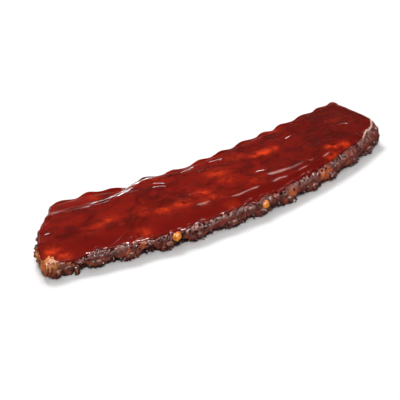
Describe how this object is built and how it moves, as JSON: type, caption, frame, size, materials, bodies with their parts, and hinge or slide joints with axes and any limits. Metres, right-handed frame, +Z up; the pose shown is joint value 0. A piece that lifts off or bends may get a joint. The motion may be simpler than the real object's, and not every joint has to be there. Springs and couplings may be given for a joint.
{
  "type": "rack of ribs",
  "caption": "Long bowed slab of glazed barbecue pork back ribs, meat side up, with the bones running across it and showing at both long edges and underneath.",
  "frame": {"origin": "middle of the slab's bounding rectangle, on the surface the slab lies on", "axes": "+X along the slab from its small ribs to its large ones, +Y from the bone-end edge to the loin edge, +Z up, out of the glazed meat side"},
  "size_m": [0.431, 0.1382, 0.0259],
  "materials": {
    "glazed_meat": "glossy, wet-looking sauce glaze over browned meat",
    "bone": "roasted, satin"
  },
  "bodies": {
    "root": {"meat": "glazed_meat", "rib_01": "bone", "rib_02": "bone", "rib_03": "bone", "rib_04": "bone", "rib_05": "bone", "rib_06": "bone", "rib_07": "bone", "rib_08": "bone", "rib_09": "bone", "rib_10": "bone", "rib_11": "bone", "rib_12": "bone"}
  },
  "joints": []
}
